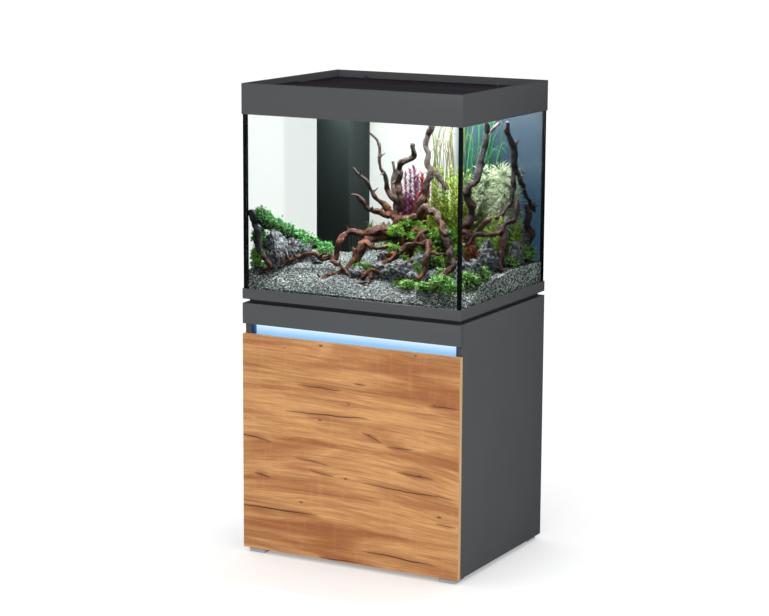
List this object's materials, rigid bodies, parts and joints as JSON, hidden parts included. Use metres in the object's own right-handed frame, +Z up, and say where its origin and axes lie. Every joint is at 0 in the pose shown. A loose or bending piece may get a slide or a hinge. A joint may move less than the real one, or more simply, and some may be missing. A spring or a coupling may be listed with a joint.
{
  "type": "aquarium on stand",
  "caption": "Planted glass tank with lidded hood and corner filter shaft, on a closed cabinet with an oak door, a lit finger gap and pads for feet.",
  "frame": {"origin": "on the floor under the middle of the cabinet's footprint", "axes": "+X to the right seen from the front, +Y to the back, +Z up"},
  "size_m": [0.7, 0.55, 1.37],
  "materials": {
    "graphite_board": "matt graphite laminate on chipboard",
    "oak_board": "golden oak decor with dark cracks, level grain",
    "gap_glow": "pale acrylic lit from above",
    "gap_blue": "blue tinted acrylic",
    "led_white": "opal acrylic",
    "aluminium": "anodised",
    "zinc_steel": "zinc plated",
    "beech": "plain beech",
    "foot_plastic": "silver grey moulded",
    "clear_pad": "clear soft pad",
    "plinth_black": "black laminate",
    "graphite_trim": "satin graphite",
    "foam": "black closed-cell foam",
    "tank_glass": "clear float glass",
    "black_silicone": "black silicone",
    "back_film": "printed fade from white to blue",
    "shaft_plastic": "dark grey-green sheet",
    "pipe_fittings": "dark grey moulded",
    "tap_red": "red moulded",
    "tap_blue": "blue moulded",
    "pipe_white": "white tube",
    "black_plastic": "black moulded",
    "lid_gloss": "black violet acrylic",
    "knob_pale": "pale moulded",
    "gravel": "black, grey and white fine gravel",
    "root_wood": "red-brown root wood",
    "grey_stone": "blue-grey broken stone",
    "leaf_green": "leaves in greens and reds"
  },
  "bodies": {
    "cabinet_and_tank": {"side_panel_left": "graphite_board", "side_panel_right": "graphite_board", "bottom_panel": "graphite_board", "top_panel": "graphite_board", "back_panel": "graphite_board", "fascia": "graphite_board", "gap_rail": "graphite_board", "gap_reflector": "gap_glow", "gap_end_blocks": "gap_blue", "led_profile": "aluminium", "led_strip": "led_white", "led_diffuser": "led_white", "cam_locks": "zinc_steel", "dowels": "beech", "shelf": "graphite_board", "shelf_pins": "zinc_steel", "feet": "foot_plastic", "hinge_plates": "zinc_steel", "hinge_arms": "zinc_steel", "hinge_arm_pins": "zinc_steel", "plinth": "plinth_black", "base_trim": "graphite_trim", "foam_mat": "foam", "glass_bottom": "tank_glass", "glass_front": "tank_glass", "glass_back": "tank_glass", "glass_left": "tank_glass", "glass_right": "tank_glass", "glass_braces": "tank_glass", "silicone_seams": "black_silicone", "background_film": "back_film", "filter_shaft": "shaft_plastic", "bulkhead_bodies": "pipe_fittings", "bulkhead_seals": "black_silicone", "bulkhead_nuts": "pipe_fittings", "valve_bodies": "pipe_fittings", "suction_pipe": "pipe_white", "suction_strainer": "black_plastic", "return_pipe": "pipe_white", "hood_frame": "graphite_trim", "lid_rails": "black_plastic", "lid_rear": "lid_gloss", "lid_knobs": "knob_pale", "light_bars": "aluminium", "light_lenses": "led_white", "light_brackets": "black_plastic", "gravel_bed": "gravel", "driftwood": "root_wood", "rocks": "grey_stone", "plants": "leaf_green"},
    "hinge_link": {"hinge_links": "zinc_steel"},
    "door": {"door": "oak_board", "door_bumpers": "clear_pad", "hinge_cups": "zinc_steel", "hinge_cup_pins": "zinc_steel"},
    "front_lid": {"lid_front": "lid_gloss", "lid_grip": "graphite_trim"},
    "suction_tap": {"suction_tap": "tap_red"},
    "return_tap": {"return_tap": "tap_blue"},
    "nozzle": {"return_nozzle": "black_plastic"}
  },
  "joints": [
    {"name": "hinge_link_turn", "type": "hinge", "parent": "cabinet_and_tank", "child": "hinge_link", "pos_m": [-0.318, -0.266, 0.332], "axis": [0, 0, -1], "range_deg": [-40, 0]},
    {"name": "door_swing", "type": "hinge", "parent": "hinge_link", "child": "door", "pos_m": [-0.338, -0.263, 0.332], "axis": [0, 0, -1], "range_deg": [0, 135]},
    {"name": "front_lid_slide", "type": "slide", "parent": "cabinet_and_tank", "child": "front_lid", "axis": [0, 1, 0], "range_m": [0, 0.15]},
    {"name": "suction_tap_turn", "type": "hinge", "parent": "cabinet_and_tank", "child": "suction_tap", "pos_m": [-0.3, 0.165, 0.676], "axis": [0, -1, 0], "range_deg": [0, 90]},
    {"name": "return_tap_turn", "type": "hinge", "parent": "cabinet_and_tank", "child": "return_tap", "pos_m": [-0.258, 0.225, 0.676], "axis": [0, -1, 0], "range_deg": [0, 90]},
    {"name": "nozzle_turn", "type": "hinge", "parent": "cabinet_and_tank", "child": "nozzle", "pos_m": [-0.258, 0.225, 1.252], "axis": [0, 0, 1], "range_deg": [-30, 15]}
  ],
  "couplings": [
    {"joint": "hinge_link_turn", "follows": "door_swing", "ratio": -0.2963}
  ]
}
